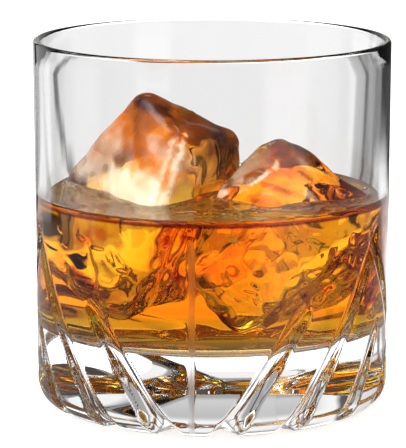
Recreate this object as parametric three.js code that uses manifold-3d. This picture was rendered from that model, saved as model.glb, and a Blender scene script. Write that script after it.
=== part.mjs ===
// Whisky on the rocks: a heavy pressed tumbler, the whisky in it and two large pieces of ice.
// Millimetres, +Z up. The origin is the middle of the foot, and the front of the glass faces -Y.

import * as THREE from 'three';
import { ConvexGeometry } from 'three/addons/geometries/ConvexGeometry.js';
import { LoftGeometry } from 'three/addons/geometries/LoftGeometry.js';
import { mergeVertices } from 'three/addons/utils/BufferGeometryUtils.js';
import Module from 'manifold-3d';

// Driving dimensions of the glass.
const RIM_HEIGHT = 88.6;
const RIM_RADIUS = 43; // outside
const WALL_FOOT_RADIUS = 42.6; // outside, where the wall runs into the round corner of the foot
const CORNER_RADIUS = 5.5; // round between the wall and the foot
const WALL_THICKNESS = 1.8; // at the rim, whose edge is fully round
const CAVITY_FLOOR_HEIGHT = 19; // thickness of the solid base
const CAVITY_FLOOR_RADIUS = 40; // inside, where the wall runs into the round corner of the floor
const CAVITY_CORNER_RADIUS = 5;
const PUNT_RADIUS = 28; // shallow hollow under the base, so that the glass stands on a flat ring
const PUNT_HEIGHT = 0.8;

// The cuts in the glass: two mirrored fans of round-bottomed grooves, at the front and the back.
const FAN_AZIMUTH = -5.5; // degrees from the front, to the right
const LEAN = 0.9; // degrees that a groove turns outwards for each mm that it rises
const GROOVE_FOOT_REACH = 6; // how far a groove runs in under the foot
const GROOVE_END = 5; // length of a groove's round end
const CUTS = [
  { offset: 9, top: 31, width: 4.2, depth: 1.2 },
  { offset: 30.5, top: 46, width: 3.6, depth: 1.1 },
  { offset: 52, top: 23, width: 3.4, depth: 1.1 },
  { offset: 73.5, top: 45, width: 3.4, depth: 1.1 },
];
const NOTCH_WIDEN = 1.7; // a groove is this much wider and deeper round the foot, which scallops it

// Driving dimensions of the contents.
const FILL_HEIGHT = 50.5;
const GAP = 0.3; // between touching pieces

// Ice corners, as the middles of the balls that round them, in mm.
const LEFT_ICE = {
  rounding: 5,
  corners: {
    top: [-15.5, 4, 69.8],
    topRight: [2.2, 8, 60.8],
    topFront: [-7.8, -8, 62],
    topBack: [-8, 20, 58],
    left: [-32, 14.3, 50.5],
    leftLow: [-30.5, 8.2, 40],
    front: [-14.5, -17, 46],
    right: [2.6, 8.5, 51],
    bottomFront: [-18, -9.5, 28],
    bottomRight: [-3, 12, 31],
    bottomBack: [-20, 18, 33],
  },
};
const RIGHT_ICE = {
  rounding: 4,
  corners: {
    top: [16.8, 5, 59.8],
    shoulder: [9.8, -2, 56],
    left: [2.2, -9.6, 46.8],
    right: [34.3, -6, 49],
    front: [14, -19, 47.4],
    back: [24, 12, 48],
    leftLow: [-1.5, -17.5, 36.5],
    bottomFront: [6, -17, 25],
    bottomRight: [17, -21, 37.5],
    rightLow: [29, -1, 37],
    bottomBack: [18, 5, 27],
  },
};

// Fineness of the round forms.
const RING_SEGMENTS = 72;
const ARC_STEPS = 6; // even, so that a half circle has a point at its top
const GROOVE_SIDES = 8;
const GROOVE_STEP = 6; // spacing of the sections along a groove, in mm

const wasm = await Module();
wasm.setup();

const rad = THREE.MathUtils.degToRad;

// A geometry's positions alone, with shared vertices merged.
function merged(geometry) {
  const bare = new THREE.BufferGeometry();
  bare.setAttribute('position', geometry.attributes.position);
  bare.setIndex(geometry.index);
  return mergeVertices(bare);
}

// A closed geometry as a solid that can be cut and joined.
function solidOf(geometry) {
  const bare = merged(geometry);
  const index = bare.index.array;
  const triangles = [];
  for (let i = 0; i < index.length; i += 3) {
    const [a, b, c] = [index[i], index[i + 1], index[i + 2]];
    if (a !== b && b !== c && c !== a) triangles.push(a, b, c);
  }
  return new wasm.Manifold(new wasm.Mesh({
    numProp: 3,
    vertProperties: new Float32Array(bare.attributes.position.array),
    triVerts: new Uint32Array(triangles),
  }));
}

// A solid back as a geometry.
function geometryOf(solid) {
  const mesh = solid.getMesh();
  const geometry = new THREE.BufferGeometry();
  geometry.setAttribute('position', new THREE.BufferAttribute(mesh.vertProperties, 3));
  geometry.setIndex(new THREE.BufferAttribute(mesh.triVerts, 1));
  geometry.computeVertexNormals();
  return geometry;
}

// Points on a round corner about (radius, height), from one angle to another in degrees.
function corner(radius, height, size, from, to) {
  return Array.from({ length: ARC_STEPS + 1 }, (_, i) => {
    const angle = rad(THREE.MathUtils.lerp(from, to, i / ARC_STEPS));
    return new THREE.Vector2(radius + size * Math.cos(angle), height + size * Math.sin(angle));
  });
}

// A profile turned about the Z axis.
function turned(profile) {
  return new THREE.LatheGeometry(profile, RING_SEGMENTS).rotateX(Math.PI / 2);
}

// Outside radius of the wall at a height.
function wallRadius(height) {
  return THREE.MathUtils.mapLinear(height, CORNER_RADIUS, RIM_HEIGHT, WALL_FOOT_RADIUS, RIM_RADIUS);
}

// Inside radius of the wall at a height.
function cavityRadius(height) {
  return THREE.MathUtils.mapLinear(
    height, CAVITY_FLOOR_HEIGHT, RIM_HEIGHT, CAVITY_FLOOR_RADIUS, RIM_RADIUS - WALL_THICKNESS);
}

// The bare glass: punt, flat foot ring, round corner, wall, round rim, cavity with a round floor corner.
function tumblerProfile() {
  const footRadius = WALL_FOOT_RADIUS - CORNER_RADIUS;
  const rim = WALL_THICKNESS / 2;
  const floorCorner = CAVITY_FLOOR_RADIUS - CAVITY_CORNER_RADIUS;
  return [
    new THREE.Vector2(0, PUNT_HEIGHT),
    new THREE.Vector2(PUNT_RADIUS - 2 * PUNT_HEIGHT, PUNT_HEIGHT),
    new THREE.Vector2(PUNT_RADIUS, 0),
    ...corner(footRadius, CORNER_RADIUS, CORNER_RADIUS, -90, 0),
    ...corner(RIM_RADIUS - rim, RIM_HEIGHT - rim, rim, 0, 180),
    ...corner(floorCorner, CAVITY_FLOOR_HEIGHT + CAVITY_CORNER_RADIUS, CAVITY_CORNER_RADIUS, 0, -90),
    new THREE.Vector2(0, CAVITY_FLOOR_HEIGHT),
  ];
}

// The outside of the glass at a reach in mm along its skin from the edge of the flat foot: below 0
// lies the foot, then the round corner, then the wall. tilt is the way the skin faces above level.
function skin(reach) {
  const footRadius = WALL_FOOT_RADIUS - CORNER_RADIUS;
  const cornerLength = CORNER_RADIUS * Math.PI / 2;
  if (reach < 0) return { radius: footRadius + reach, height: 0, tilt: -Math.PI / 2 };
  if (reach > cornerLength) {
    const height = CORNER_RADIUS + reach - cornerLength;
    return { radius: wallRadius(height), height, tilt: 0 };
  }
  const tilt = reach / CORNER_RADIUS - Math.PI / 2;
  return {
    radius: footRadius + CORNER_RADIUS * Math.cos(tilt),
    height: CORNER_RADIUS * (1 + Math.sin(tilt)),
    tilt,
  };
}

// A point outside, at an azimuth in degrees from the front, and the way the skin faces there.
function skinPoint(azimuth, reach) {
  const { radius, height, tilt } = skin(reach);
  const outward = new THREE.Vector3(Math.sin(rad(azimuth)), -Math.cos(rad(azimuth)), 0);
  const point = outward.clone().multiplyScalar(radius).setZ(height);
  const normal = outward.multiplyScalar(Math.cos(tilt)).setZ(Math.sin(tilt));
  return { point, normal, height };
}

// The tool that cuts one groove: oval sections along the skin, shrinking to a round end at the top
// and to a point under the foot. side is 1 for a groove that leans right, -1 for one that leans left.
function groove(middle, side, { offset, top, width, depth }) {
  const topReach = top - CORNER_RADIUS + CORNER_RADIUS * Math.PI / 2;
  const count = Math.round((topReach + GROOVE_FOOT_REACH) / GROOVE_STEP);
  const reaches = Array.from({ length: count + 1 }, (_, i) =>
    THREE.MathUtils.lerp(-GROOVE_FOOT_REACH, topReach, i / count));
  // The round end takes two more sections close to the tip.
  reaches.splice(count, 0, topReach - GROOVE_END * 0.3, topReach - GROOVE_END * 0.07);
  reaches.sort((a, b) => a - b);
  const at = (reach) => {
    const height = Math.max(0, skin(reach).height);
    return skinPoint(middle + side * (offset + LEAN * height), reach);
  };
  const sections = reaches.map((reach) => {
    const { point, normal } = at(reach);
    const along = at(reach + 0.2).point.sub(at(reach - 0.2).point).normalize();
    const across = new THREE.Vector3().crossVectors(normal, along).normalize();
    const toTip = THREE.MathUtils.clamp((topReach - reach) / GROOVE_END, 0, 1);
    const toFoot = THREE.MathUtils.clamp((reach + GROOVE_FOOT_REACH) / GROOVE_FOOT_REACH, 0, 1);
    const round = Math.sqrt(1 - (1 - toTip) ** 2) * toFoot;
    const cornerShare = THREE.MathUtils.smoothstep(2.4 * CORNER_RADIUS - reach, 0, 2 * CORNER_RADIUS);
    const grow = Math.max(round, 0.004) * (1 + (NOTCH_WIDEN - 1) * cornerShare);
    return Array.from({ length: GROOVE_SIDES }, (_, k) => {
      const angle = 2 * Math.PI * (k + 0.5) / GROOVE_SIDES;
      return point.clone()
        .addScaledVector(across, grow * width / 2 * Math.cos(angle))
        .addScaledVector(normal, grow * depth * Math.sin(angle));
    });
  });
  return solidOf(new LoftGeometry(sections, { capStart: true, capEnd: true }));
}

// The glass with its two fans of grooves.
function tumblerSolid() {
  let glass = solidOf(turned(tumblerProfile()));
  for (const middle of [FAN_AZIMUTH, FAN_AZIMUTH + 180]) {
    for (const cut of CUTS) {
      for (const side of [-1, 1]) glass = glass.subtract(groove(middle, side, cut));
    }
  }
  return glass;
}

// A piece of ice: the hull of the balls at its corners. grow widens it, to cut the room it takes.
function iceSolid({ rounding, corners }, grow = 0) {
  const ball = merged(new THREE.IcosahedronGeometry(rounding + grow, 2)).attributes.position;
  const points = [];
  for (const middle of Object.values(corners)) {
    for (let i = 0; i < ball.count; i++) {
      points.push(new THREE.Vector3().fromBufferAttribute(ball, i).add(new THREE.Vector3(...middle)));
    }
  }
  return solidOf(new ConvexGeometry(points));
}

// The whisky up to its level, clear of the glass and cut round the ice.
function whiskySolid() {
  const size = CAVITY_CORNER_RADIUS - GAP;
  const profile = [
    new THREE.Vector2(0, CAVITY_FLOOR_HEIGHT + GAP),
    ...corner(CAVITY_FLOOR_RADIUS - CAVITY_CORNER_RADIUS, CAVITY_FLOOR_HEIGHT + CAVITY_CORNER_RADIUS,
      size, -90, 0),
    new THREE.Vector2(cavityRadius(FILL_HEIGHT) - GAP, FILL_HEIGHT),
    new THREE.Vector2(0, FILL_HEIGHT),
  ];
  return solidOf(turned(profile))
    .subtract(iceSolid(LEFT_ICE, GAP))
    .subtract(iceSolid(RIGHT_ICE, GAP));
}

// A named piece with its own material.
function piece(name, solid, finish) {
  const mesh = new THREE.Mesh(geometryOf(solid), new THREE.MeshStandardMaterial(finish));
  mesh.name = name;
  return mesh;
}

const glassFinish = { color: 0xf2f4f4, roughness: 0.02, metalness: 0, transparent: true, opacity: 0.3 };
const whiskyFinish = { color: 0xc8680c, roughness: 0.05, metalness: 0, transparent: true, opacity: 0.8 };
const iceFinish = { color: 0xf3e6cf, roughness: 0.12, metalness: 0, transparent: true, opacity: 0.6 };

const whiskyOnTheRocks = new THREE.Group();
whiskyOnTheRocks.add(
  piece('tumbler', tumblerSolid(), glassFinish),
  piece('whisky', whiskySolid(), whiskyFinish),
  piece('ice_left', iceSolid(LEFT_ICE), iceFinish),
  piece('ice_right', iceSolid(RIGHT_ICE), iceFinish),
);

export default whiskyOnTheRocks;
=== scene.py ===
"""Whisky on the rocks: a heavy pressed tumbler, the whisky in it and its ice, dressed for the picture.

Sizes are in millimetres where a name or comment says nothing else, and become metres when a mesh is
finished. The front of the glass faces -Y, and an azimuth is in degrees from there, positive to +X.
"""
import logging
import math
from collections.abc import Sequence
from dataclasses import dataclass, field
from enum import IntEnum
from typing import ClassVar

import bmesh
import bpy
from mathutils import Euler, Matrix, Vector, noise
from mathutils.bvhtree import BVHTree


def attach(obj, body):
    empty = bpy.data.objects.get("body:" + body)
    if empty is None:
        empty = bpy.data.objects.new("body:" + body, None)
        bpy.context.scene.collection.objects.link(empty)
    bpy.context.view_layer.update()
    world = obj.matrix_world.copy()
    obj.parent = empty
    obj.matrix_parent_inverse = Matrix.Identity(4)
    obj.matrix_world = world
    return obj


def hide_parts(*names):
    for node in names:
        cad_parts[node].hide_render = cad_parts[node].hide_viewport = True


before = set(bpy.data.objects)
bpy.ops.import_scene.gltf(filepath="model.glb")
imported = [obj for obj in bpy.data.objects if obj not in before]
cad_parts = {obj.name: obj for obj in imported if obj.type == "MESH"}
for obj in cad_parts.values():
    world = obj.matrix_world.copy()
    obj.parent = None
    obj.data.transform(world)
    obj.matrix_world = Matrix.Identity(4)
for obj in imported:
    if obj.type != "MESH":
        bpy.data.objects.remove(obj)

LOG = logging.getLogger("whisky_on_the_rocks")
MM = 0.001

# Refractive indices.
SODA_LIME_IOR = 1.52
WHISKY_IOR = 1.39
ICE_IOR = 1.22

FILL_HEIGHT = 50.5  # level of the drink

# Values at places on a line, such as brightness by azimuth.
Knots = tuple[tuple[float, float], ...]
# Radius and height of the points of a turned shape.
Profile = list[tuple[float, float]]


def lerp(start: float, end: float, share: float) -> float:
    """Returns the value that lies a share of the way from start to end."""
    return start + (end - start) * share


def ease(value: float, low: float, high: float) -> float:
    """Returns 0 below low, 1 above high and a smooth step between them."""
    share = min(1.0, max(0.0, (value - low) / (high - low)))
    return share * share * (3 - 2 * share)


def along(knots: Knots, place: float) -> float:
    """Reads a line through knots.

    Args:
        knots: Places in rising order, each with its value.
        place: The place.

    Returns:
        The value there, straight between two knots.
    """
    for (start, low), (end, high) in zip(knots, knots[1:]):
        if place <= end:
            return lerp(low, high, (place - start) / (end - start))
    return knots[-1][1]


def outward(azimuth: float) -> Vector:
    """Returns the level unit vector that points away from the axis at an azimuth."""
    return Vector((math.sin(math.radians(azimuth)), -math.cos(math.radians(azimuth)), 0))


def azimuth_of(point: Vector) -> float:
    """Returns the azimuth of a point."""
    return math.degrees(math.atan2(point.x, -point.y))


def linear(srgb: str) -> tuple[float, float, float, float]:
    """Turns an sRGB colour into Blender's linear one.

    Args:
        srgb: The colour as "#rrggbb".

    Returns:
        Linear red, green and blue, and an alpha of 1.
    """
    values = [int(srgb[i:i + 2], 16) / 255 for i in (1, 3, 5)]
    return (*(v / 12.92 if v <= 0.04045 else ((v + 0.055) / 1.055) ** 2.4 for v in values), 1.0)


def add_node(tree: bpy.types.NodeTree, kind: str, inputs: dict[str | int, object] | None = None,
             **settings: object) -> bpy.types.Node:
    """Adds a node with its settings and links.

    Args:
        tree: The node tree.
        kind: The node's type name.
        inputs: For each socket, by name or number, a value or another node's output.
        **settings: The node's properties.

    Returns:
        The new node.
    """
    node = tree.nodes.new(kind)
    for name, value in settings.items():
        setattr(node, name, value)
    for name, value in (inputs or {}).items():
        socket = next((i for i in node.inputs if i.enabled and i.name == name), None)
        socket = socket or node.inputs[name]
        if isinstance(value, bpy.types.NodeSocket):
            tree.links.new(value, socket)
        else:
            socket.default_value = value
    return node


def on_segment(point: Vector, start: Vector, end: Vector) -> Vector:
    """Finds the place on a straight segment that is nearest to a point.

    Args:
        point: The point.
        start: One end of the segment.
        end: Its other end.

    Returns:
        The nearest place.
    """
    way = end - start
    share = (point - start).dot(way) / way.length_squared
    return start + way * min(1.0, max(0.0, share))


def bare_tree(owner: bpy.types.Material | bpy.types.World) -> bpy.types.NodeTree:
    """Switches on an owner's nodes and clears them.

    Args:
        owner: A material or a world.

    Returns:
        Its empty node tree.
    """
    owner.use_nodes = True
    owner.node_tree.nodes.clear()
    return owner.node_tree


def loose(shape: bmesh.types.BMesh, name: str) -> bpy.types.Object:
    """Makes a plain object of a shape.

    Args:
        shape: The shape, which is used up.
        name: The object's name.

    Returns:
        The object, in the scene.
    """
    mesh = bpy.data.meshes.new(name)
    shape.to_mesh(mesh)
    shape.free()
    made = bpy.data.objects.new(name, mesh)
    bpy.context.scene.collection.objects.link(made)
    return made


def mark(made: bpy.types.Object, name: str, values: Sequence[float]) -> None:
    """Gives each point of an object's mesh its value of a named attribute."""
    made.data.attributes.new(name, "FLOAT", "POINT").data.foreach_set("value", values)


@dataclass(frozen=True)
class ClearBody:
    """A clear solid or liquid that light passes through and bends in.

    Attributes:
        name: What the real one is.
        ior: Refractive index.
        roughness: How far its surface blurs what is seen through it.
        tint: Colour that the surface gives to what passes, as sRGB hex.
        depth_colour: Colour that the light takes on in the body, as sRGB hex, or None for a clear one.
        density: Strength of that colour per metre.
        mirrors_above: Height above which its surface meets air and mirrors, or None for all of it.
        painted_shading: Colours of painted light and painted shade that its surface turns to where the
            mesh's attribute of that name is 0.5 and 1, or None.
        frost: Roughness where the mesh's frost attribute is 1.
        cloud: How milky it is where the frost attribute is 1.
    """

    name: str
    ior: float
    roughness: float = 0.0
    tint: str = "#ffffff"
    depth_colour: str | None = None
    density: float = 0.0
    mirrors_above: float | None = None
    painted_shading: tuple[str, str] | None = None
    frost: float = 0.0
    cloud: float = 0.0

    def material(self) -> bpy.types.Material:
        """Makes the material.

        Returns:
            The material, new for each piece.
        """
        material = bpy.data.materials.new(self.name)
        tree = bare_tree(material)
        shader = add_node(tree, "ShaderNodeBsdfPrincipled", {
            "Base Color": linear(self.tint),
            "Roughness": self.roughness,
            "IOR": self.ior,
            "Transmission Weight": 1.0,
        })
        # Painted shading: an attribute on the mesh picks colours that stand in for light through the drink
        # and for shade.
        if self.painted_shading:
            amount = add_node(tree, "ShaderNodeAttribute", attribute_name="painted_shading")
            painted_ramp = add_node(tree, "ShaderNodeValToRGB", {"Fac": amount.outputs["Fac"]})
            stops = painted_ramp.color_ramp.elements
            stops.new(0.5)
            for stop, colour in zip(stops, (self.tint, *self.painted_shading)):
                stop.color = linear(colour)
            tree.links.new(painted_ramp.outputs["Color"], shader.inputs["Base Color"])
        if self.frost:
            amount = add_node(tree, "ShaderNodeAttribute", attribute_name="frost")
            for socket, clear, frosted in (("Roughness", self.roughness, self.frost),
                                           ("Transmission Weight", 1.0, 1.0 - self.cloud)):
                share = add_node(tree, "ShaderNodeMapRange", {
                    "Value": amount.outputs["Fac"], "To Min": clear, "To Max": frosted})
                tree.links.new(share.outputs["Result"], shader.inputs[socket])
        if self.mirrors_above is not None:
            place = add_node(tree, "ShaderNodeTexCoord")
            split = add_node(tree, "ShaderNodeSeparateXYZ", {0: place.outputs["Object"]})
            dry = add_node(tree, "ShaderNodeMath", {0: split.outputs["Z"], 1: self.mirrors_above * MM},
                           operation="GREATER_THAN")
            tree.links.new(dry.outputs[0], shader.inputs["Specular Tint"])
        output = add_node(tree, "ShaderNodeOutputMaterial", {"Surface": shader.outputs["BSDF"]})
        if self.depth_colour:
            absorption = add_node(tree, "ShaderNodeVolumeAbsorption", {
                "Color": linear(self.depth_colour),
                "Density": self.density,
            })
            tree.links.new(absorption.outputs["Volume"], output.inputs["Volume"])
        return material


# Pressed and fire-polished glass: colourless, with a perfectly smooth skin that bends light strongly.
SODA_LIME_GLASS = ClearBody("fire_polished_soda_lime_glass", SODA_LIME_IOR)
# The same glass where the drink touches it: nearly nothing is mirrored between the two.
WETTED_GLASS = ClearBody("soda_lime_glass_under_whisky", SODA_LIME_IOR, mirrors_above=FILL_HEIGHT + 2)
# Cask-aged spirit: clear, and from pale gold where thin to deep amber where thick. Its colour ramp paints
# shade: a dark brown line of painted shade where it climbs the glass.
CASK_WHISKY = ClearBody("cask_aged_whisky", WHISKY_IOR, depth_colour="#fce81e", density=122.0,
                        mirrors_above=FILL_HEIGHT - 0.3, painted_shading=("#6e2c08", "#1e0a02"))
# Melting ice: wet and smooth, so it is as clear as water, with painted amber where the drink's light
# would show through it, dark painted shade and pale painted highlights, and milky patches where tiny
# bubbles are frozen in.
WET_ICE = ClearBody("wet_clear_ice", ICE_IOR, depth_colour="#fae526", density=14.0,
                    mirrors_above=FILL_HEIGHT, tint="#ffecd0",
                    painted_shading=("#c8660a", "#3e1002"), frost=0.35, cloud=0.8)
# The line that the mould leaves, slightly frosted, so it draws a pale band over the drink.
MOULD_SEAM = ClearBody("soda_lime_glass_mould_seam", SODA_LIME_IOR, roughness=0.3)


@dataclass
class Piece:
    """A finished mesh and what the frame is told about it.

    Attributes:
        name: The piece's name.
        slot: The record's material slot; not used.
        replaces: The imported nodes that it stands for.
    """

    name: str
    slot: str
    replaces: tuple[str, ...] = ()

    def place(self, shape: bmesh.types.BMesh, *finishes: ClearBody) -> bpy.types.Object:
        """Makes the object of a mesh in millimetres and hangs it in the frame.

        Args:
            shape: The mesh, which is used up.
            *finishes: Its finishes, by the material numbers of its faces.

        Returns:
            The object, at the origin, in metres.
        """
        bmesh.ops.scale(shape, vec=(MM, MM, MM), verts=shape.verts)
        made = loose(shape, self.name)
        for finish in finishes:
            made.data.materials.append(finish.material())
        made.data.shade_smooth()
        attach(made, "root")
        if self.replaces:
            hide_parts(*self.replaces)
        LOG.info("%s: %d faces", self.name, len(made.data.polygons))
        return made


def turned(profile: Profile, steps: int) -> bmesh.types.BMesh:
    """Turns a profile about the Z axis.

    Args:
        profile: Radius and height of each point, from the axis to the axis.
        steps: Number of steps round.

    Returns:
        The closed shape.
    """
    shape = bmesh.new()
    points = [shape.verts.new((radius, 0, height)) for radius, height in profile]
    edges = [shape.edges.new(pair) for pair in zip(points, points[1:])]
    bmesh.ops.spin(shape, geom=points + edges, cent=(0, 0, 0), axis=(0, 0, 1), dvec=(0, 0, 0),
                   angle=2 * math.pi, steps=steps, use_merge=True, use_duplicate=False)
    bmesh.ops.remove_doubles(shape, verts=shape.verts, dist=0.001)
    bmesh.ops.recalc_face_normals(shape, faces=shape.faces)
    return shape


def arc(centre: tuple[float, float], size: float, start: float, end: float, steps: int) -> Profile:
    """Follows a round corner of a profile.

    Args:
        centre: Radius and height of the corner's middle.
        size: The corner's own radius.
        start: First angle in degrees, 0 facing out and 90 up.
        end: Last angle.
        steps: Number of steps between them.

    Returns:
        The points, both ends among them.
    """
    angles = [math.radians(lerp(start, end, i / steps)) for i in range(steps + 1)]
    return [(centre[0] + size * math.cos(a), centre[1] + size * math.sin(a)) for a in angles]


def stretch(start: tuple[float, float], end: tuple[float, float], steps: int) -> Profile:
    """Returns the points of a straight stretch of a profile, both ends left out."""
    return [(lerp(start[0], end[0], i / steps), lerp(start[1], end[1], i / steps)) for i in range(1, steps)]


def hollowed(shape: bmesh.types.BMesh, tools: list[bmesh.types.BMesh]) -> bmesh.types.BMesh:
    """Cuts shapes out of another.

    Args:
        shape: The shape that is cut, which is used up.
        tools: The shapes that are cut out, which are used up.

    Returns:
        What is left.
    """
    body = loose(shape, "body")
    cutters = [loose(tool, f"cutter_{i}") for i, tool in enumerate(tools)]
    for cutter in cutters:
        modifier = body.modifiers.new(cutter.name, "BOOLEAN")
        modifier.operation = "DIFFERENCE"
        modifier.solver = "MANIFOLD"
        modifier.object = cutter
    result = bmesh.new()
    result.from_object(body, bpy.context.evaluated_depsgraph_get())
    for thing in (body, *cutters):
        mesh = thing.data
        bpy.data.objects.remove(thing)
        bpy.data.meshes.remove(mesh)
    return result


class Skin(IntEnum):
    """Finishes of the glass, by the material numbers of its faces."""

    BARE = 0
    WETTED = 1
    SEAM = 2


@dataclass(frozen=True)
class Cut:
    """One groove of a fan in the glass.

    Attributes:
        offset: Degrees from the middle of the fan to the groove at the foot.
        top: Height of its upper end.
        width: Width between its edges.
        depth: Depth at its middle.
    """

    offset: float
    top: float
    width: float
    depth: float


@dataclass
class Tumbler:
    """The glass: solid base, thin wall, round rim and two fans of grooves that notch the foot.

    A reach is a way along the outside, from the edge of the flat foot round its corner and up the wall.
    """

    rim_height: float = 88.6
    rim_radius: float = 43.0
    wall_foot_radius: float = 42.6
    corner_radius: float = 5.5
    wall_thickness: float = 1.8
    cavity_floor_height: float = 19.0
    cavity_floor_radius: float = 40.0
    cavity_corner_radius: float = 5.0
    punt_radius: float = 28.0  # of the hollow under the base
    punt_height: float = 0.8
    fan_azimuth: float = -5.5
    lean: float = 0.9  # degrees outwards for each mm of height
    groove_foot_reach: float = 6.0
    groove_end: float = 5.0  # length of its tapering upper end
    groove_section: float = 0.8  # power that rounds its section
    notch_widen: float = 1.7
    notch_start: float = 2.4  # reach at which it begins to widen, in corner radii
    cuts: tuple[Cut, ...] = (Cut(9, 31, 4.2, 1.2), Cut(30.5, 46, 3.6, 1.1),
                             Cut(52, 23, 3.4, 1.1), Cut(73.5, 45, 3.4, 1.1))
    seam_azimuth: float = -6.7
    seam_width: float = 1.6
    seam_height: float = 0.12
    seam_fade: float = 47.0  # reach above which it was polished away
    seam_fade_length: float = 8.0
    seam_polish: float = 0.93  # share of it that the polish takes
    seam_edge: float = 0.2  # share of its height at which its own finish begins
    wetted_margin: float = 0.3
    slack: float = 0.05  # by which a point of the outside may lie inside it
    steps_round: int = 576
    row: float = 0.62  # spacing of the rows where the grooves are
    rows_above: float = 2.0  # height over the grooves up to which the rows are as close

    @property
    def foot_radius(self) -> float:
        """Outer radius of the flat foot."""
        return self.wall_foot_radius - self.corner_radius

    @property
    def corner_length(self) -> float:
        """Length of the skin round the foot's corner."""
        return self.corner_radius * math.pi / 2

    def wall_radius(self, height: float) -> float:
        """Outside radius of the wall at a height."""
        share = (height - self.corner_radius) / (self.rim_height - self.corner_radius)
        return lerp(self.wall_foot_radius, self.rim_radius, share)

    def cavity_radius(self, height: float) -> float:
        """Inside radius of the wall at a height."""
        share = (height - self.cavity_floor_height) / (self.rim_height - self.cavity_floor_height)
        return lerp(self.cavity_floor_radius, self.rim_radius - self.wall_thickness, share)

    def skin(self, reach: float) -> tuple[float, float, float]:
        """Follows the outside from the edge of the flat foot, round the corner and up the wall.

        Args:
            reach: Way along the skin, below 0 on the foot.

        Returns:
            Radius, height, and the angle in radians that the skin faces above level.
        """
        if reach < 0:
            return self.foot_radius + reach, 0.0, -math.pi / 2
        if reach > self.corner_length:
            height = self.corner_radius + reach - self.corner_length
            return self.wall_radius(height), height, 0.0
        tilt = reach / self.corner_radius - math.pi / 2
        return (self.foot_radius + self.corner_radius * math.cos(tilt),
                self.corner_radius * (1 + math.sin(tilt)), tilt)

    def reach_of(self, point: Vector) -> float | None:
        """Finds how far along the outside a point lies.

        Args:
            point: A point of the bare glass.

        Returns:
            Its reach, or None for a point that isn't on the outside.
        """
        radius = math.hypot(point.x, point.y)
        if point.z < 1e-4:
            return radius - self.foot_radius if radius >= self.punt_radius else None
        if point.z <= self.corner_radius and radius > self.foot_radius:
            tilt = math.atan2(point.z - self.corner_radius, radius - self.foot_radius)
            return (tilt + math.pi / 2) * self.corner_radius
        if radius > self.wall_radius(point.z) - self.slack and point.z > self.corner_radius:
            return point.z - self.corner_radius + self.corner_length
        return None

    def groove_depth(self, azimuth: float, reach: float) -> float:
        """Measures the grooves at a place on the outside.

        Args:
            azimuth: Azimuth of the place.
            reach: Its reach.

        Returns:
            How deep the deepest groove there lies below the skin.
        """
        radius, height, tilt = self.skin(reach)
        slant = radius * math.radians(self.lean) * math.cos(tilt)
        in_corner = ease(self.notch_start * self.corner_radius - reach, 0, 2 * self.corner_radius)
        to_foot = min(1.0, max(0.0, (reach + self.groove_foot_reach) / self.groove_foot_reach))
        deepest = 0.0
        for middle in (self.fan_azimuth, self.fan_azimuth + 180):
            turn = (azimuth - middle + 180) % 360 - 180
            for cut in self.cuts:
                top_reach = cut.top - self.corner_radius + self.corner_length
                to_tip = min(1.0, max(0.0, (top_reach - reach) / self.groove_end))
                grow = math.sqrt(1 - (1 - to_tip) ** 2) * to_foot * lerp(1, self.notch_widen, in_corner)
                if grow <= 0:
                    continue
                away = radius * math.radians(abs(turn) - cut.offset - self.lean * height)
                across = away / math.hypot(1, slant) / (grow * cut.width / 2)
                if abs(across) < 1:
                    bowl = (1 - across * across) ** self.groove_section
                    deepest = max(deepest, grow * cut.depth * bowl)
        return deepest

    def seam_rise(self, azimuth: float) -> float:
        """Measures the mould's two seams.

        Args:
            azimuth: Azimuth of a place on the outside.

        Returns:
            How far the seam stands proud of the skin there.
        """
        turn = (azimuth - self.seam_azimuth + 90) % 180 - 90
        across = self.rim_radius * math.radians(turn) / (self.seam_width / 2)
        return self.seam_height * (1 - across * across) ** 2 if abs(across) < 1 else 0.0

    def skin_of(self, middle: Vector) -> Skin:
        """Sorts the faces of the glass by finish.

        Args:
            middle: Middle of the face.

        Returns:
            The finish of the face.
        """
        radius = math.hypot(middle.x, middle.y)
        on_seam = self.seam_rise(azimuth_of(middle)) > self.seam_edge * self.seam_height
        if on_seam and middle.z < self.seam_fade and radius > self.foot_radius:
            return Skin.SEAM
        below_level = self.cavity_floor_height - self.wetted_margin < middle.z < FILL_HEIGHT
        if below_level and radius < self.cavity_radius(middle.z) + self.wetted_margin:
            return Skin.WETTED
        return Skin.BARE

    def profile(self) -> Profile:
        """Draws the bare glass.

        Returns:
            Its profile, from the punt round to the floor of the cavity.
        """
        rim = self.wall_thickness / 2
        top_cut = max(cut.top for cut in self.cuts) + self.rows_above
        cavity_corner = (self.cavity_floor_radius - self.cavity_corner_radius,
                         self.cavity_floor_height + self.cavity_corner_radius)
        top_reach = top_cut - self.corner_radius + self.corner_length
        rows = round((top_reach + self.groove_foot_reach) / self.row)
        fine = [self.skin(lerp(-self.groove_foot_reach, top_reach, i / rows))[:2] for i in range(rows + 1)]
        shoulder = (self.wall_radius(self.rim_height - rim), self.rim_height - rim)
        inner_shoulder = (self.cavity_radius(self.rim_height - rim), self.rim_height - rim)
        inner_foot = (self.cavity_floor_radius, cavity_corner[1])
        return [
            (0, self.punt_height),
            *stretch((0, self.punt_height), (self.punt_radius - 2 * self.punt_height, self.punt_height), 4),
            (self.punt_radius - 2 * self.punt_height, self.punt_height),
            (self.punt_radius - self.punt_height, self.punt_height / 2),
            (self.punt_radius, 0),
            *fine,
            *stretch(fine[-1], shoulder, 8),
            *arc((self.rim_radius - rim, self.rim_height - rim), rim, 0, 180, 10),
            *stretch(inner_shoulder, inner_foot, 12),
            *arc(cavity_corner, self.cavity_corner_radius, 0, -90, 8),
            *stretch((cavity_corner[0], self.cavity_floor_height), (0, self.cavity_floor_height), 6),
            (0, self.cavity_floor_height),
        ]

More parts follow.
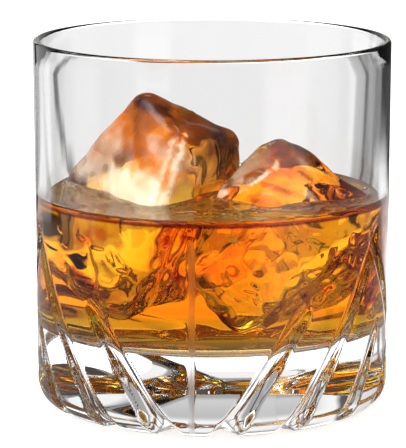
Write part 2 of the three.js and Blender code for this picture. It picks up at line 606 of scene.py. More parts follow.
    def build(self) -> bpy.types.Object:
        """Makes the glass with its grooves and its mould seams.

        Returns:
            The finished object.
        """
        shape = turned(self.profile(), self.steps_round)
        for vert in shape.verts:
            reach = self.reach_of(vert.co)
            if reach is None:
                continue
            azimuth = azimuth_of(vert.co)
            tilt = self.skin(reach)[2]
            normal = outward(azimuth) * math.cos(tilt) + Vector((0, 0, math.sin(tilt)))
            polish = self.seam_polish * ease(reach, self.seam_fade, self.seam_fade + self.seam_fade_length)
            lift = -self.groove_depth(azimuth, reach)
            lift += self.seam_rise(azimuth) * ease(reach, 0, self.corner_length) * (1 - polish)
            vert.co += normal * lift
        for face in shape.faces:
            face.material_index = self.skin_of(face.calc_center_median())
        return Piece("glass_tumbler", "glass", ("tumbler",)).place(
            shape, SODA_LIME_GLASS, WETTED_GLASS, MOULD_SEAM)


@dataclass(frozen=True)
class Bead:
    """A bead of air in the ice: a ball, squashed and turned.

    Attributes:
        across: Where it lies from left to right.
        height: Where it lies from the bottom to the top.
        depth: How far it lies behind the front skin of the ice.
        radii: Its three radii.
        turn: Its turn about the line from front to back, in degrees.
    """

    FINENESS: ClassVar[int] = 2

    across: float
    height: float
    depth: float
    radii: tuple[float, float, float]
    turn: float = 0.0

    def shape(self, skin: BVHTree) -> bmesh.types.BMesh | None:
        """Makes the bead.

        Args:
            skin: The skin of the ice.

        Returns:
            The closed shape in its place, or None where the ice doesn't reach.
        """
        before_the_ice = Vector((self.across, -60, self.height))
        hit = skin.ray_cast(before_the_ice, Vector((0, 1, 0)))[0]
        if hit is None:
            return None
        shape = bmesh.new()
        bmesh.ops.create_icosphere(shape, subdivisions=self.FINENESS, radius=1.0)
        bmesh.ops.scale(shape, vec=self.radii, verts=shape.verts)
        turn = Euler((0, math.radians(self.turn), 0)).to_matrix()
        bmesh.ops.rotate(shape, cent=(0, 0, 0), matrix=turn, verts=shape.verts)
        bmesh.ops.translate(shape, vec=hit + Vector((0, self.depth, 0)), verts=shape.verts)
        return shape


@dataclass(frozen=True)
class Patch:
    """A soft-edged patch or line of painted shading (amber, dark edge shade or pale highlight) and frost in
    the skin of the ice.

    Attributes:
        start: One end of it.
        end: Its other end.
        reach: How far it spreads to each side.
        painted_shading: What it adds to the painted shading: above 0 amber or shade, below 0 a pale painted
            highlight.
        frost: What it adds to the frost.
    """

    DEPTH_WEIGHT: ClassVar[float] = 0.3  # how much a gap from front to back counts
    WANDER: ClassVar[float] = 0.3  # how far its edge wanders, in reaches
    CORE: ClassVar[float] = 0.35  # how far it is at full strength, in reaches

    start: tuple[float, float, float]
    end: tuple[float, float, float]
    reach: float
    painted_shading: float = 0.0
    frost: float = 0.0

    def strength(self, point: Vector) -> float:
        """Measures the patch at a point.

        Args:
            point: A point in the skin of the ice.

        Returns:
            How strong the patch is there, from 0 to 1.
        """
        gap = point - on_segment(point, Vector(self.start), Vector(self.end))
        away = math.hypot(gap.x, self.DEPTH_WEIGHT * gap.y, gap.z)
        wander_size = 0.3 + 0.5 * self.reach
        away += self.WANDER * self.reach * noise.noise(point / wander_size)
        return 1 - ease(away, self.CORE * self.reach, self.reach)


@dataclass
class Ice:
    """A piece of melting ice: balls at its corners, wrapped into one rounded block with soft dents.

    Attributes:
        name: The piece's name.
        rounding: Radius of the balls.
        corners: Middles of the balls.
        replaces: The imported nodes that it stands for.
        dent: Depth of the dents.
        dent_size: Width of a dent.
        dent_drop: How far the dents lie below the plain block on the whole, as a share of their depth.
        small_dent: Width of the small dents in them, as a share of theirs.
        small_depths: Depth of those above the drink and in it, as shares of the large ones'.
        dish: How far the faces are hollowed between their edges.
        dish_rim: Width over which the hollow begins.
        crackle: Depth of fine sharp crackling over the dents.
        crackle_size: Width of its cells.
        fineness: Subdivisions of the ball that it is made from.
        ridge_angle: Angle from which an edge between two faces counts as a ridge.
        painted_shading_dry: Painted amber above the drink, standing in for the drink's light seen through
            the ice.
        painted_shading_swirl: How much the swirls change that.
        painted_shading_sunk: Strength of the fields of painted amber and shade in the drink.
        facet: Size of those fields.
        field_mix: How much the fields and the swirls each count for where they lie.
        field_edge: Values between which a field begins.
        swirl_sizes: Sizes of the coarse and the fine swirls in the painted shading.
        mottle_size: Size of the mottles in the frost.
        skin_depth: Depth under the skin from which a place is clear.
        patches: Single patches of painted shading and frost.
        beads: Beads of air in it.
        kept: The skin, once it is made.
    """

    FIELD_SPREAD: ClassVar[float] = 7.3  # sets neighbouring fields of painted shading well apart
    MOST_STEPS: ClassVar[int] = 40  # from outside to the skin, for one point of it
    NEAR_ENOUGH: ClassVar[float] = 0.01  # gap to the skin at which they end

    name: str
    rounding: float
    corners: dict[str, tuple[float, float, float]]
    replaces: tuple[str, ...] = ()
    dent: float = 0.9
    dent_size: float = 10.0
    dent_drop: float = 0.3
    small_dent: float = 0.38
    small_depths: tuple[float, float] = (0.25, 0.75)
    dish: float = 1.3
    dish_rim: float = 6.0
    crackle: float = 0.0
    crackle_size: float = 4.0
    fineness: int = 6
    ridge_angle: float = math.radians(18)
    painted_shading_dry: float = 0.2
    painted_shading_swirl: float = 0.15
    painted_shading_sunk: float = 0.25
    facet: float = 7.0
    field_mix: float = 0.55
    field_edge: tuple[float, float] = (0.48, 0.75)
    swirl_sizes: tuple[float, float] = (4.0, 1.8)
    mottle_size: float = 3.0
    skin_depth: float = 0.25
    patches: tuple[Patch, ...] = ()
    beads: tuple[Bead, ...] = ()
    kept: bmesh.types.BMesh | None = field(default=None, repr=False)

    def hull(self) -> bmesh.types.BMesh:
        """Wraps the middles of the balls.

        Returns:
            Their hull, in triangles.
        """
        hull = bmesh.new()
        for corner in self.corners.values():
            hull.verts.new(corner)
        bmesh.ops.convex_hull(hull, input=hull.verts)
        bmesh.ops.triangulate(hull, faces=hull.faces)
        return hull

    def core(self) -> BVHTree:
        """Readies the hull for measuring distances.

        Returns:
            The hull as a tree.
        """
        hull = self.hull()
        tree = BVHTree.FromBMesh(hull)
        hull.free()
        return tree

    def ridges(self) -> list[tuple[Vector, Vector]]:
        """Finds the edges of the hull where two faces meet at a clear angle.

        Returns:
            The two ends of each.
        """
        hull = self.hull()
        ends = [(edge.verts[0].co.copy(), edge.verts[1].co.copy()) for edge in hull.edges
                if edge.calc_face_angle(0) > self.ridge_angle]
        hull.free()
        return ends

    def shape(self) -> bmesh.types.BMesh:
        """Shrinks a ball onto the balls at the corners, then dents it.

        Returns:
            The skin of the piece as a closed shape in millimetres.
        """
        core = self.core()
        middle = sum((Vector(c) for c in self.corners.values()), Vector()) / len(self.corners)
        start = max((Vector(c) - middle).length for c in self.corners.values()) + 1.5 * self.rounding
        shape = bmesh.new()
        bmesh.ops.create_icosphere(shape, subdivisions=self.fineness, radius=1.0)
        for vert in shape.verts:
            way = vert.co.normalized()
            far = start
            for _ in range(self.MOST_STEPS):
                gap = core.find_nearest(middle + way * far)[3] - self.rounding
                far -= gap
                if gap < self.NEAR_ENOUGH:
                    break
            vert.co = middle + way * far
        shape.normal_update()
        ridges = self.ridges()
        lifts = [self.relief(vert.co, ridges) for vert in shape.verts]
        for vert, lift in zip(shape.verts, lifts):
            vert.co += vert.normal * lift
        shape.normal_update()
        return shape

    def surface(self, grow: float = 0.0) -> bmesh.types.BMesh:
        """Makes the skin of the piece.

        Args:
            grow: How far out from its true place the skin lies.

        Returns:
            The closed shape in millimetres.
        """
        if self.kept is None:
            self.kept = self.shape()
        copy = self.kept.copy()
        copy.normal_update()
        for vert in copy.verts:
            vert.co += vert.normal * grow
        return copy

    def relief(self, point: Vector, ridges: list[tuple[Vector, Vector]]) -> float:
        """Measures the dents at a point.

        Args:
            point: A point of the plain rounded block.
            ridges: Ends of its edges.

        Returns:
            How far the skin stands out of the block there.
        """
        near = min((point - on_segment(point, *ridge)).length for ridge in ridges)
        wave = noise.noise(point / self.dent_size + Vector((self.rounding, 0, 0)))
        small = noise.noise(point / (self.dent_size * self.small_dent) + Vector((0, self.rounding, 0)))
        sunk = 1 - ease(point.z, FILL_HEIGHT - 8, FILL_HEIGHT + 2)
        lift = self.dent * (wave + lerp(*self.small_depths, sunk) * small - self.dent_drop)
        lift -= self.dish * ease(near, self.rounding, self.rounding + self.dish_rim)
        if self.crackle:
            cell = noise.voronoi(point / self.crackle_size)[0]
            lift += self.crackle * (min(1.0, (cell[1] - cell[0]) * 2) - 1)
        return lift

    def build(self) -> bpy.types.Object:
        """Makes the piece of ice with its beads of air, painted shading and frost.

        Returns:
            The finished object.
        """
        shape = self.surface()
        skin = BVHTree.FromBMesh(shape)
        hollows = [hollow for bead in self.beads if (hollow := bead.shape(skin))]
        if hollows:
            shape = hollowed(shape, hollows)
        looks = [self.look(vert.co, skin.find_nearest(vert.co)[3]) for vert in shape.verts]
        made = Piece(self.name, "ice", self.replaces).place(shape, WET_ICE)
        for name, values in zip(("painted_shading", "frost"), zip(*looks)):
            mark(made, name, values)
        return made

    def look(self, point: Vector, depth: float) -> tuple[float, float]:
        """Returns the painted shading and the frost at a point of the piece or of a bead in it.

        Args:
            point: The point.
            depth: How far it lies under the skin.

        Returns:
            The painted shading, 0 for clear to 1 for deep amber and shade, and the frost, 0 for clear to 1
            for milky.
        """
        if depth > self.skin_depth:
            return 0.0, 0.0
        coarse, fine = self.swirl_sizes
        nearest = noise.voronoi(point / self.facet)[1][0]
        facet = 0.5 + noise.noise(nearest * self.FIELD_SPREAD)
        swirl = 0.5 + noise.noise(point / coarse + Vector((0, 0, 9))) + 0.4 * noise.noise(point / fine)
        sunk = 1 - ease(point.z, FILL_HEIGHT - 2, FILL_HEIGHT)
        mixed = self.field_mix * facet + self.field_mix * swirl
        # Painted amber light above the drink, and painted fields of amber and shade in it.
        painted_shading = lerp(self.painted_shading_dry + self.painted_shading_swirl * (swirl - 0.5),
                     self.painted_shading_sunk * ease(mixed, *self.field_edge), sunk)
        frost = 0.0
        for patch in self.patches:
            strength = patch.strength(point)
            painted_shading += strength * patch.painted_shading
            frost += strength * patch.frost
        frost *= 0.95 + 0.25 * noise.noise(point / self.mottle_size)
        return min(1.0, max(0.0, painted_shading)), min(1.0, max(0.0, frost))


@dataclass
class Whisky:
    """The drink: up to its level, reaching just into the glass, and hollow where the ice is.

    Attributes:
        glass: The glass that it fills.
        ice: The pieces of ice in it.
        level: Height of its top.
        into_glass: How far it reaches into the glass, so that no air shows between them.
        into_ice: How far its hollows stand off the skin of the ice, below 0 for inside it.
        meniscus: How far it climbs the glass at the front.
        meniscus_back: Share of that at the back.
        meniscus_fade: Places from front to back between which it comes down to that.
        meniscus_ice: Share of that at the ice.
        meniscus_width: Width over which it climbs.
        ripple: Height of the ripples.
        ripple_size: Width of a ripple.
        ripple_fade: Width along the glass over which they die down.
        line_depth: How far under the level the painted dark line of shade at the glass is darkest.
        line_width: Half the height of that line.
        line_shade: How dark that painted shade is at the most.
        line_reach: How far from the glass it is still seen.
        line_fade: Places from front to back between which it ends.
        line_rows: Depths under the level of the rows of points that it is drawn on.
        rings: Rings from the glass to the middle of the top.
        steps_round: Steps round the drink.
    """

    glass: Tumbler
    ice: list[Ice]
    level: float = FILL_HEIGHT
    into_glass: float = 0.15
    into_ice: float = -0.1
    meniscus: float = 1.1
    meniscus_back: float = 0.35
    meniscus_fade: tuple[float, float] = (-10, 20)
    meniscus_ice: float = 0.6
    meniscus_width: float = 1.5
    ripple: float = 0.35
    ripple_size: float = 9.0
    ripple_fade: float = 4.0
    line_depth: float = 0.3
    line_width: float = 0.6
    line_shade: float = 0.9
    line_reach: float = 0.4
    line_fade: tuple[float, float] = (-12, 12)
    line_rows: tuple[float, ...] = (1.4, 1.1, 0.8, 0.5, 0.25, 0)
    rings: int = 60
    steps_round: int = 192

    def profile(self) -> Profile:
        """Draws the drink before its top moves.

        Returns:
            Its profile, from the middle of its floor round to the middle of its top.
        """
        size = self.glass.cavity_corner_radius + self.into_glass
        corner = (self.glass.cavity_floor_radius - self.glass.cavity_corner_radius,
                  self.glass.cavity_floor_height + self.glass.cavity_corner_radius)
        floor = corner[1] - size
        edge = self.glass.cavity_radius(self.level) + self.into_glass
        # Closer together towards the glass, where the drink climbs.
        rings = [edge * (1 - (i / self.rings) ** 1.5) for i in range(self.rings + 1)]
        return [
            (0, floor),
            *stretch((0, floor), (corner[0], floor), 6),
            *arc(corner, size, -90, 0, 8),
            *stretch((corner[0] + size, corner[1]), (edge, self.level - self.line_rows[0]), 8),
            *((edge, self.level - depth) for depth in self.line_rows),
            *((radius, self.level) for radius in rings),
        ]

    def build(self) -> bpy.types.Object:
        """Makes the drink with its ripples, its climb at the glass and its hollows for the ice.

        Returns:
            The finished object.
        """
        shape = turned(self.profile(), self.steps_round)
        cores = [(piece.core(), piece.rounding) for piece in self.ice if piece.replaces]
        edge = self.glass.cavity_radius(self.level)
        for vert in shape.verts:
            if abs(vert.co.z - self.level) > 1e-3:
                continue
            away = max(0.0, edge - math.hypot(vert.co.x, vert.co.y))
            near = min(max(0.0, core.find_nearest(vert.co)[3] - rounding) for core, rounding in cores)
            ripple = self.ripple * noise.noise(vert.co / self.ripple_size) * ease(away, 0, self.ripple_fade)
            climb = self.meniscus * lerp(1, self.meniscus_back, ease(vert.co.y, *self.meniscus_fade))
            vert.co.z += ripple + climb * math.exp(-away / self.meniscus_width)
            vert.co.z += self.meniscus_ice * self.meniscus * math.exp(-near / self.meniscus_width)
        tools = [piece.surface(self.into_ice) for piece in self.ice]
        shape = hollowed(shape, tools)
        # Painted shade: the dark line where the drink climbs the glass.
        line_shades = [self.painted_shading(vert.co) for vert in shape.verts]
        made = Piece("whisky_drink", "whisky", ("whisky",)).place(shape, CASK_WHISKY)
        mark(made, "painted_shading", line_shades)
        return made

    def painted_shading(self, point: Vector) -> float:
        """Paints a dark line of shade on the skin where the drink climbs the glass.

        Args:
            point: A point of the drink's skin.

        Returns:
            How dark the painted shade is there.
        """
        if math.hypot(point.x, point.y) < self.glass.cavity_radius(point.z) - self.line_reach:
            return 0.0
        near = 1 - min(1.0, abs(point.z - self.level + self.line_depth) / self.line_width)
        return self.line_shade * near * (1 - ease(point.y, *self.line_fade))


LEFT_CORNERS = {
    "top": (-15.5, 4, 69.8),
    "top_right": (2.2, 8, 60.8),
    "top_front": (-7.8, -8, 62),
    "top_back": (-8, 20, 58),
    "left": (-32, 14.3, 50.5),
    "left_low": (-30.5, 8.2, 40),
    "front": (-14.5, -17, 46),
    "right": (2.6, 8.5, 51),
    "bottom_front": (-18, -9.5, 28),
    "bottom_right": (-3, 12, 31),
    "bottom_back": (-20, 18, 33),
}
RIGHT_CORNERS = {
    "top": (16.8, 5, 59.8),
    "shoulder": (9.8, -2, 56),
    "left": (2.2, -9.6, 46.8),
    "right": (34.3, -6, 49),
    "front": (14, -19, 47.4),
    "back": (24, 12, 48),
    "left_low": (-1.5, -17.5, 36.5),
    "bottom_front": (6, -17, 25),
    "bottom_right": (17, -21, 37.5),
    "right_low": (29, -1, 37),
    "bottom_back": (18, 5, 27),
}
# Beads of air that show in the two large pieces.
LEFT_BEADS = (
    Bead(-28, 43, 1.2, (0.5, 0.5, 1.3), -20),
    Bead(-27.5, 39.5, 1.2, (0.5, 0.5, 1.0), -25),
    Bead(-25, 42, 1.5, (0.45, 0.45, 1.1), -25),
    Bead(-22.5, 40.5, 1.5, (1.2, 0.5, 0.6), 25),
    Bead(-18, 36, 1.4, (1.4, 0.6, 0.7), 25),
    Bead(-20.5, 38, 2.0, (0.4, 0.4, 0.4)),
    Bead(-13, 52.5, 1.6, (0.9, 0.7, 0.8)),
    Bead(-10.5, 53, 1.8, (0.5, 0.5, 0.5)),
)
RIGHT_BEADS = (
    Bead(5, 30, 1.2, (0.9, 0.25, 0.35), 40),
    Bead(7.5, 32, 1.2, (1.4, 0.25, 0.35), 20),
    Bead(8.5, 29.5, 1.2, (1.0, 0.25, 0.3), 65),
    Bead(17, 43, 1.0, (0.9, 0.3, 0.3), -20),
    Bead(20, 29, 1.2, (1.0, 0.5, 0.6)),
    Bead(23, 33, 1.2, (0.8, 0.5, 0.6)),
)
# Where those two get painted amber, painted shade and painted highlights, and where they are milky: ends,
# reach, painted shading and frost.
LEFT_PATCHES = (
    Patch((-15.0, 0, 73.5), (3.1, 0, 64.2), 9, 0.36),
    Patch((-17.4, 2, 72.7), (-11.4, 2, 70.8), 2.6, 0.25),
    Patch((-5.3, 2, 70.3), (4.8, 2, 65.4), 1.6, 0.25),
    Patch((0.7, 0, 61.3), (0.0, 0, 51.5), 8, 0.42),
    Patch((5.8, 4, 61.9), (6.6, 4, 54.5), 2, 0.3),
    Patch((-8.9, -4, 66.9), (0.4, -4, 69.5), 0.8, -0.12),
    Patch((-5.4, -4, 64.8), (5.1, -4, 65.1), 0.7, -0.12),
    Patch((0.4, -4, 59.5), (-5.4, -4, 49.4), 1, -0.14),
    Patch((-3.1, -6, 61.6), (-7.7, -6, 48.6), 0.8, -0.14),
    Patch((-13.6, -3, 72.3), (-6.6, -3, 67.0), 0.7, 0.35),
    Patch((-5.4, -3, 68.2), (5.1, -3, 65.8), 0.6, 0.35),
    Patch((-0.8, -4, 61.3), (-6.0, -4, 53.0), 0.7, 0.35),
    Patch((3.9, -2, 61.0), (0.4, -2, 55.0), 0.7, 0.3),
    Patch((-17.3, -3, 67.9), (-12.5, -10, 59.3), 10, 0.2, 0.75),
    Patch((-21.7, -2, 71.0), (-15.8, -10, 60.5), 2.6, 0.22),
    Patch((-22.7, 0, 66.2), (-29.1, 0, 59.3), 5, 0.12, 0.8),
    Patch((-31.5, 0, 55.9), (-20.9, -8, 52.9), 6, -0.1, 0.95),
    Patch((-22.1, -8, 53.4), (-14.7, -16, 51.9), 6, -0.2, 1),
    Patch((-33.6, 0, 57.1), (-29.2, -8, 54.3), 1.6, 0.16),
    Patch((-6.0, -13, 66.8), (-11.8, -22, 50.6), 1.9, -0.5, 1),
    Patch((-9.5, -13, 65.3), (-14.7, -21, 50.9), 1.4, -0.3, 0.9),
    Patch((-15.4, -6, 70.0), (-7.7, -12, 66.6), 1.2, -0.2, 0.8),
    Patch((-30.7, -8, 36.8), (-13.9, -8, 23.7), 1.7, 1),
    Patch((-14.8, -16, 42.3), (-16.4, -16, 41.1), 6, -0.5),
    Patch((-20.8, -12, 36.1), (-20.4, -12, 35.6), 3.2, -0.3, 0.5),
    Patch((-17.9, -12, 32.2), (-17.5, -12, 30.7), 3.2, 0.3),
    Patch((-12.6, -14, 40.4), (-13.4, -14, 37.5), 1.1, 1),
    Patch((-14.6, -12, 30.7), (-15.1, -12, 28.3), 1.4, 1),
    Patch((-25.8, -10, 42.5), (-21.5, -10, 44.0), 3.6, 0.3, 0.1),
    Patch((-7.9, -16, 45.2), (-14.2, -10, 34.5), 1, 0.6),
)
RIGHT_PATCHES = (
    Patch((16.7, 0, 64.2), (17.9, 0, 62.3), 5, 0.2),
    Patch((17.5, -4, 59.5), (32.0, -4, 52.2), 9, 0.26),
    Patch((19.8, 2, 62.7), (29.9, 2, 54.3), 1.2, 0.4),
    Patch((29.8, 0, 54.7), (38.1, 0, 51.7), 1, 0.4),
    Patch((20.8, -6, 56.9), (25.4, -6, 53.9), 0.7, 0.5),
    Patch((25.4, -8, 54.3), (28.9, -8, 49.9), 0.8, 0.5),
    Patch((29.7, -2, 56.8), (31.5, -2, 52.6), 0.7, 0.5),
    Patch((31.3, -5, 53.2), (28.4, -5, 50.8), 0.7, 0.4),
    Patch((11.9, -12, 55.0), (18.9, -12, 52.7), 0.8, 0.4),
    Patch((9.6, -16, 51.6), (17.6, -16, 51.0), 0.8, 0.4),
    Patch((19.1, -2, 61.0), (25.6, -2, 55.0), 1, -0.25, 0.2),
    Patch((22.3, -12, 52.7), (25.8, -12, 50.3), 1.2, -0.2, 0.4),
    Patch((6.7, -6, 56.4), (13.4, -6, 59.8), 3.4, 0, 0.35),
    Patch((8.1, -8, 55.8), (11.9, -8, 57.3), 1, 0.3),
    Patch((-2.2, -13, 50.6), (2.3, -13, 53.3), 2.4, -0.2, 0.8),
    Patch((16.8, -5, 62.1), (15.3, -5, 57.7), 1.2, -0.2, 0.7),
    Patch((15.2, -9, 58.4), (6.7, -9, 52.6), 0.8, -0.2, 0.6),
    Patch((8.9, -18, 52.3), (14.8, -18, 51.1), 2, 0.3),
    Patch((32.0, -6, 49.6), (36.8, -6, 49.4), 1.5, -0.2, 0.5),
    Patch((1.6, -20, 45.9), (12.7, -20, 39.0), 0.9, -0.2, 0.8),
    Patch((12.7, -22, 39.1), (15.0, -22, 37.2), 1.5, -0.2, 0.6),
    Patch((16.0, -20, 35.8), (8.7, -20, 30.5), 0.9, -0.2, 0.6),
    Patch((8.7, -19, 30.3), (5.3, -19, 24.0), 0.9, -0.2, 0.6),
    Patch((4.5, -20, 35.3), (8.5, -20, 33.4), 3, -0.2),
    Patch((0.0, -19, 32.0), (4.6, -19, 25.4), 2.6, -0.5, 0.25),
    Patch((-3.1, -18, 28.6), (4.2, -18, 22.8), 1.3, 1),
    Patch((-9.1, -18, 37.3), (-8.6, -18, 32.0), 1.2, -0.2, 0.5),
    Patch((16.0, -12, 42.4), (18.9, -12, 40.0), 2.2, -0.2, 0.4),
    Patch((17.1, -12, 33.7), (17.9, -12, 27.3), 1, 0.8),
)
SUNK_CORNERS = {
    "top": (35, 11, 42),
    "front": (35.5, -6, 27),
    "back": (25, 25.5, 39),
    "low": (31.5, -6, 23),
    "inner": (30, 8, 24),
    "low_back": (24, 22, 26),
}
# Painted shading of the sunk piece, a pale painted highlight and a dark patch of painted shade: ends,
# reach, painted shading and frost.
SUNK_PATCHES = (
    Patch((19.2, -6, 34.9), (21.8, -6, 32.4), 2.6, -1, 0.2),
    Patch((25.2, -4, 30.0), (27.5, -4, 28.0), 3, 0.8),
)


@dataclass(frozen=True)
class TentLamp:
    """A small round lamp in the light tent.

    Attributes:
        azimuth: Its azimuth.
        elevation: Its angle above level, in degrees.
        half_width: Half its width, in degrees.
        brightness: Its brightness.
    """

    CORE: ClassVar[float] = 0.6  # how far out it is at full brightness, in half widths

    azimuth: float
    elevation: float
    half_width: float
    brightness: float

    def tone(self, way: Vector) -> float:
        """Measures the lamp in a direction from the glass.

        Args:
            way: Unit vector in that direction.

        Returns:
            What the lamp adds to the tent's brightness there.
        """
        rise = math.radians(self.elevation)
        middle = outward(self.azimuth) * math.cos(rise) + Vector((0, 0, math.sin(rise)))
        away = math.degrees(middle.angle(way))
        return self.brightness * (1 - ease(away, self.half_width * self.CORE, self.half_width))


@dataclass
class LightTent:
    """A white tent round the glass, seen only through it, with soft dark gaps that draw its edges.

    Attributes:
        radius: Radius of the tent.
        steps: Steps round it.
        base_height: Height of its base.
        base_rings: Radii of the rings of the base.
        wall_tones: Brightness of the wall by azimuth.
        wall_height: Height on the wall that is seen at the glass's rim.
        sweep: Degrees by which two of the gaps lean from the rim to the drink.
        sweep_drop: Drop on the wall over which they lean.
        sweep_curve: Power that bends them.
        sweep_in: Azimuths between which the leaning begins.
        sweep_out: Azimuths between which it ends.
        base_tones: Brightness of the base by azimuth, which shines up through the drink.
        shaded_base: Brightness of the base under the glass.
        shade: Reach over which that shade ends.
        far_base: Brightest that the far base may be, as it is seen through the empty part of the glass.
        far: Reach over which that limit begins.
        join: Reach over which the base turns into the wall.
        join_azimuths: Azimuths between which it begins to do so.
        join_drop: Drop on the wall that a mm of the base nearer to the glass stands for.
        mirrored: Brightest that the wall may be where the drink's surface mirrors it.
        mirrored_heights: Heights over which that limit begins.
        mirrored_from: Azimuths between which it begins.
        mirrored_to: Azimuths between which it ends.
        ceiling: Brightness of the ceiling.
        ceiling_edge: Elevations between which the wall turns into it.
        lamps: Small lamps in it.
    """

    radius: float = 300.0
    steps: int = 720
    base_height: float = -0.05
    base_rings: tuple[float, ...] = (
        0, 20, 30, 36, 42, 48, 54, 60, 80, 120, 160, 190, 205, 220, 235, 250, 258, 266, 275, 285)
    wall_tones: Knots = (
        (0, 0.1), (28, 0.05), (34, 0.9), (56, 0.9), (62, 0.05), (85, 0.05), (92, 0.2), (100, 0.35),
        (118, 0.35), (124, 0.04), (139, 0.04), (158.4, 0.05), (159, 0.28), (162.3, 0.3), (162.6, 0.02),
        (163.2, 0.02), (163.6, 0.45), (165.4, 0.5), (165.9, 0.98), (196.5, 0.95), (197, 0.25),
        (198.2, 0.2), (198.8, 1.0), (207, 1.0), (209, 0.1), (214, 0.05), (216, 0.9), (238, 0.95),
        (242, 0.05), (250, 0.05), (256, 0.5), (284, 0.5), (290, 0.05), (310, 0.2), (340, 0.04), (360, 0.1))
    wall_height: float = 30.0
    sweep: float = 5.0
    sweep_drop: float = 40.0
    sweep_curve: float = 1.5
    sweep_in: tuple[float, float] = (182, 190)
    sweep_out: tuple[float, float] = (212, 218)
    base_tones: Knots = (
        (0, 0.15), (20, 0.15), (36, 0.55), (54, 0.55), (70, 0.15), (95, 0.2), (116, 0.36), (132, 0.4),
        (142, 1.7), (160, 1.9), (196, 1.9), (208, 0.6), (235, 0.4), (250, 0.35), (290, 0.35), (315, 0.15),
        (360, 0.15))
    shaded_base: float = 0.4
    shade: tuple[float, float] = (34, 60)
    far_base: float = 0.97
    far: tuple[float, float] = (190, 250)
    join: tuple[float, float] = (255, 275)
    join_azimuths: tuple[float, float] = (154, 158)
    join_drop: float = 0.19
    mirrored: float = 0.4
    mirrored_heights: tuple[float, float] = (62, 78)
    mirrored_from: tuple[float, float] = (145, 155)
    mirrored_to: tuple[float, float] = (196, 206)
    ceiling: float = 0.08
    ceiling_edge: tuple[float, float] = (26, 44)
    lamps: tuple[TentLamp, ...] = (
        TentLamp(305, 55, 24, 3.0), TentLamp(50, 58, 6, 5.0), TentLamp(185, 62, 8, 4.0),
        TentLamp(235, 50, 6, 4.0), TentLamp(120, 50, 5, 4.0))

    def wall_tone(self, azimuth: float, drop: float) -> float:
        """Measures the wall.

        Args:
            azimuth: Azimuth of a place on it.
            drop: How far the place is below what is seen at the glass's rim.

        Returns:
            Its brightness.
        """
        lean = self.sweep * min(1.0, max(0.0, drop / self.sweep_drop)) ** self.sweep_curve
        lean *= ease(azimuth, *self.sweep_in) * (1 - ease(azimuth, *self.sweep_out))
        return along(self.wall_tones, azimuth + lean)

    def base_tone(self, azimuth: float, reach: float) -> float:
        """Measures the base.

        Args:
            azimuth: Azimuth of a place on it.
            reach: How far the place is from the axis.

        Returns:
            Its brightness.
        """
        tone = along(self.base_tones, azimuth)
        tone = lerp(tone, min(tone, self.far_base), ease(reach, *self.far))
        drop = self.wall_height + self.join_drop * (self.radius - reach)
        joined = ease(reach, *self.join) * ease(azimuth, *self.join_azimuths)
        tone = lerp(tone, self.wall_tone(azimuth, drop), joined)
        return lerp(self.shaded_base, tone, ease(reach, *self.shade))

    def tone(self, point: Vector) -> float:
        """Measures the tent at a point of it.

        Args:
            point: The point.

        Returns:
            Its brightness, with what the lamps add.
        """
        reach = math.hypot(point.x, point.y)
        azimuth = azimuth_of(point) % 360
        if point.z < 1.0:
            return self.base_tone(azimuth, reach)
        elevation = math.degrees(math.atan2(point.z, reach))
        tone = lerp(self.wall_tone(azimuth, self.wall_height - point.z), self.ceiling,
                    ease(elevation, *self.ceiling_edge))
        mirrored = ease(point.z, *self.mirrored_heights) * ease(azimuth, *self.mirrored_from) * (
            1 - ease(azimuth, *self.mirrored_to))
        tone = lerp(tone, min(tone, self.mirrored), mirrored)
        return tone + sum(lamp.tone(point.normalized()) for lamp in self.lamps)

    def build(self) -> bpy.types.Object:
        """Makes the tent.

        Returns:
            The object, which glows and which the camera sees only through the glass.
        """
        material = bpy.data.materials.new("lit_white_fabric")
        tree = bare_tree(material)
        tone = add_node(tree, "ShaderNodeAttribute", attribute_name="tone")
        glow = add_node(tree, "ShaderNodeEmission", {
            "Color": linear("#ffffff"), "Strength": tone.outputs["Fac"]})
        add_node(tree, "ShaderNodeOutputMaterial", {"Surface": glow.outputs[0]})
        shape = turned([(ring, self.base_height) for ring in self.base_rings]
                       + arc((0, self.base_height), self.radius, 0, 90, 40), self.steps)
        tones = [self.tone(vert.co) for vert in shape.verts]
        bmesh.ops.scale(shape, vec=(MM, MM, MM), verts=shape.verts)
        made = loose(shape, "light_tent")
        mark(made, "tone", tones)
        made.data.materials.append(material)
        made.visible_camera = False
        made.visible_diffuse = False
        made.visible_shadow = False
        return made


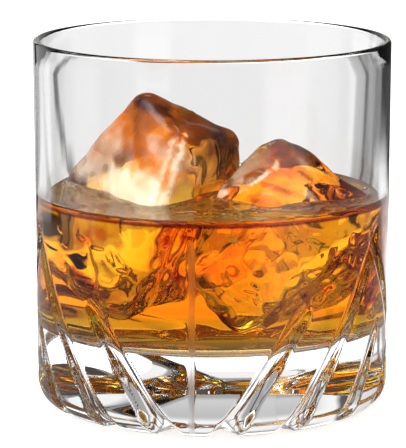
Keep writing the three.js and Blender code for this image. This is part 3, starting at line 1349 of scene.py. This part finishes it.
@dataclass
class Studio:
    """The plain floor, the soft light, the light tent and the camera.

    Attributes:
        distance: How far the camera stands from the glass.
        camera_height: Height of the camera.
        camera_side: How far it stands to the side.
        pitch: How far it looks down, in degrees.
        lens: Its focal length.
        sensor: Width of its sensor.
        floor_radius: Radius of the floor.
        floor_gap: How far it lies under the foot.
        floor_glow: Light that the floor gives off itself, so that it stays white to its edge.
        softbox_width: Width of the light overhead.
        softbox_place: Its middle.
        softbox_watts: Its power.
        light_paths: Most times that light is followed through the glass, the drink and the ice.
        mirror_paths: Most times that it is followed from mirror to mirror.
        tent: The light tent.
    """

    distance: float = 650.0
    camera_height: float = 167.3
    camera_side: float = -2.2
    pitch: float = 10.82
    lens: float = 218.72
    sensor: float = 36.0
    floor_radius: float = 4000.0
    floor_gap: float = 0.1
    floor_glow: float = 0.75
    softbox_width: float = 500.0
    softbox_place: tuple[float, float, float] = (-250, -100, 900)
    softbox_watts: float = 14.0
    light_paths: int = 32
    mirror_paths: int = 12
    tent: LightTent = field(default_factory=LightTent)

    def camera(self) -> None:
        """Makes the camera, at the picture's place and angle."""
        data = bpy.data.cameras.new("camera")
        data.sensor_width = self.sensor
        data.lens = self.lens
        data.clip_start = 0.01
        data.clip_end = 20
        camera = bpy.data.objects.new("camera", data)
        camera.location = Vector((self.camera_side, -self.distance, self.camera_height)) * MM
        camera.rotation_euler = (math.radians(90 - self.pitch), 0, 0)
        bpy.context.scene.collection.objects.link(camera)
        bpy.context.scene.camera = camera

    def floor(self) -> bpy.types.Object:
        """Makes the plain pale floor.

        Returns:
            The object.
        """
        material = bpy.data.materials.new("matt_white_card")
        tree = bare_tree(material)
        glow = add_node(tree, "ShaderNodeEmission", {
            "Color": linear("#ffffff"), "Strength": self.floor_glow})
        matt = add_node(tree, "ShaderNodeBsdfDiffuse", {"Color": linear("#c8c8c8")})
        both = add_node(tree, "ShaderNodeAddShader", {0: glow.outputs[0], 1: matt.outputs[0]})
        add_node(tree, "ShaderNodeOutputMaterial", {"Surface": both.outputs[0]})
        shape = bmesh.new()
        bmesh.ops.create_circle(shape, cap_ends=True, segments=64, radius=self.floor_radius * MM)
        bmesh.ops.translate(shape, vec=(0, 0, -self.floor_gap * MM), verts=shape.verts)
        made = loose(shape, "floor")
        made.data.materials.append(material)
        return made

    def light(self) -> None:
        """Makes the soft light overhead and the even white surroundings."""
        data = bpy.data.lights.new("overhead_softbox", "AREA")
        data.shape = "DISK"
        data.size = self.softbox_width * MM
        data.energy = self.softbox_watts
        lamp = bpy.data.objects.new("overhead_softbox", data)
        lamp.location = tuple(value * MM for value in self.softbox_place)
        lamp.rotation_euler = (-lamp.location).to_track_quat("-Z", "Y").to_euler()
        bpy.context.scene.collection.objects.link(lamp)
        world = bpy.data.worlds.new("white_studio")
        tree = bare_tree(world)
        glow = add_node(tree, "ShaderNodeBackground", {"Color": linear("#ffffff"), "Strength": 1.0})
        add_node(tree, "ShaderNodeOutputWorld", {"Surface": glow.outputs[0]})
        bpy.context.scene.world = world

    def build(self) -> None:
        """Makes the studio."""
        self.camera()
        self.light()
        self.floor()
        self.tent.build()
        scene = bpy.context.scene
        scene.view_settings.view_transform = "Standard"
        scene.cycles.max_bounces = self.light_paths
        scene.cycles.transmission_bounces = self.light_paths
        scene.cycles.glossy_bounces = self.mirror_paths


def main() -> None:
    """Builds the drink and its studio."""
    logging.basicConfig(level=logging.INFO, format="%(message)s")
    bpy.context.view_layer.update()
    Studio().build()
    glass = Tumbler()
    glass.build()
    ice = [
        Ice("ice_block_left", 5.0, LEFT_CORNERS, ("ice_left",), patches=LEFT_PATCHES, beads=LEFT_BEADS),
        Ice("ice_block_right", 4.0, RIGHT_CORNERS, ("ice_right",), dent=1.2, dent_size=7.5, painted_shading_sunk=0.12,
            patches=RIGHT_PATCHES, beads=RIGHT_BEADS),
        Ice("ice_sunk", 2.5, SUNK_CORNERS, dent_size=6.0, crackle=0.7, painted_shading_sunk=0.8, facet=3.0,
            patches=SUNK_PATCHES),
    ]
    for block in ice:
        block.build()
    Whisky(glass, ice).build()


if __name__ == "__main__":
    main()
